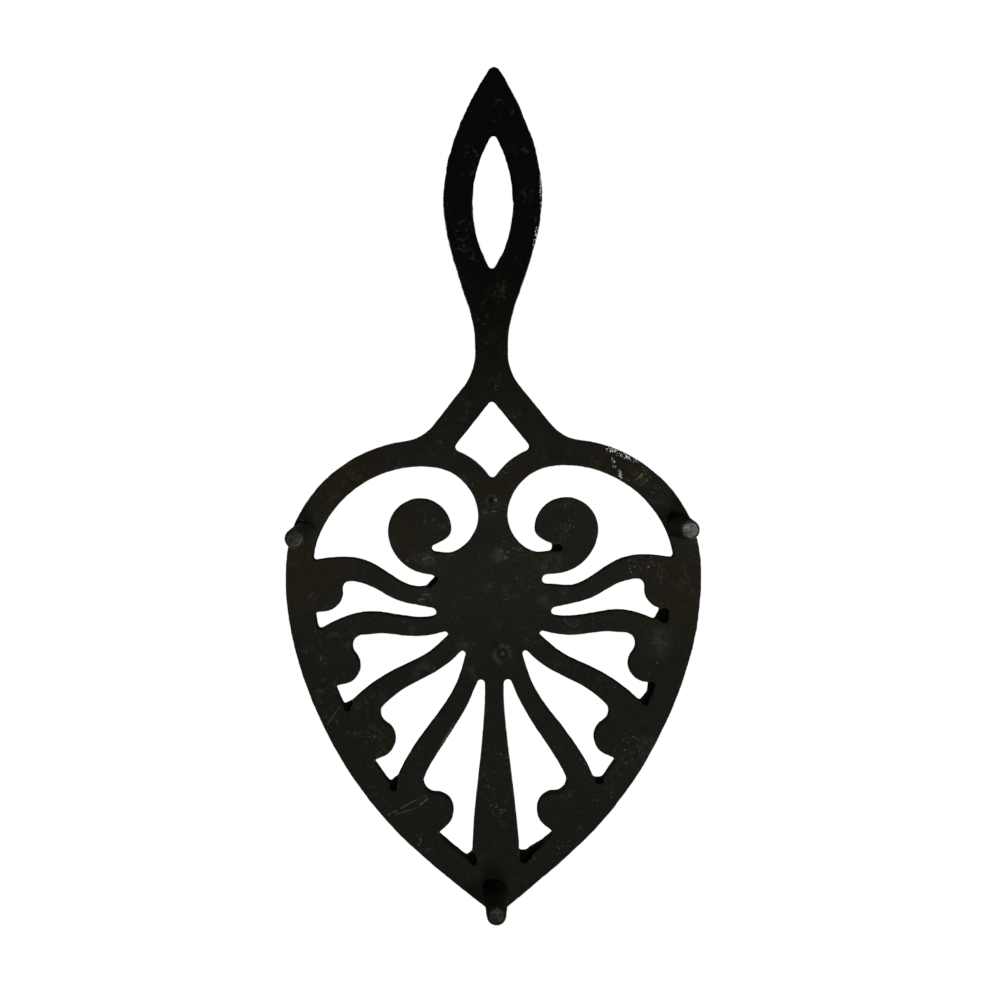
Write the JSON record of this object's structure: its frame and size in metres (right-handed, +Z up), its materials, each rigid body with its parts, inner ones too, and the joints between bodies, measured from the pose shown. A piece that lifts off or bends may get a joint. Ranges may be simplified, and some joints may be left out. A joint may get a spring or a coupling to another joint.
{
  "type": "trivet",
  "caption": "Heart-shaped openwork iron trivet with palmette leaves and scrolls, a loop handle to hang it by and peg feet that hold hot cookware clear of the table.",
  "frame": {"origin": "on the floor, under the middle of the overall length and width", "axes": "+Z up from the floor through the feet to the top face, +Y along the length towards the heart's point, so the handle points to -Y"},
  "size_m": [0.1256, 0.2558, 0.0253],
  "materials": {
    "plate_iron": "blackened casting, satin, lightly pitted and worn",
    "foot_iron": "blackened, satin, rubbed bright at the ends"
  },
  "bodies": {
    "root": {"plate": "plate_iron", "left_foot": "foot_iron", "right_foot": "foot_iron", "tip_foot": "foot_iron"}
  },
  "joints": []
}
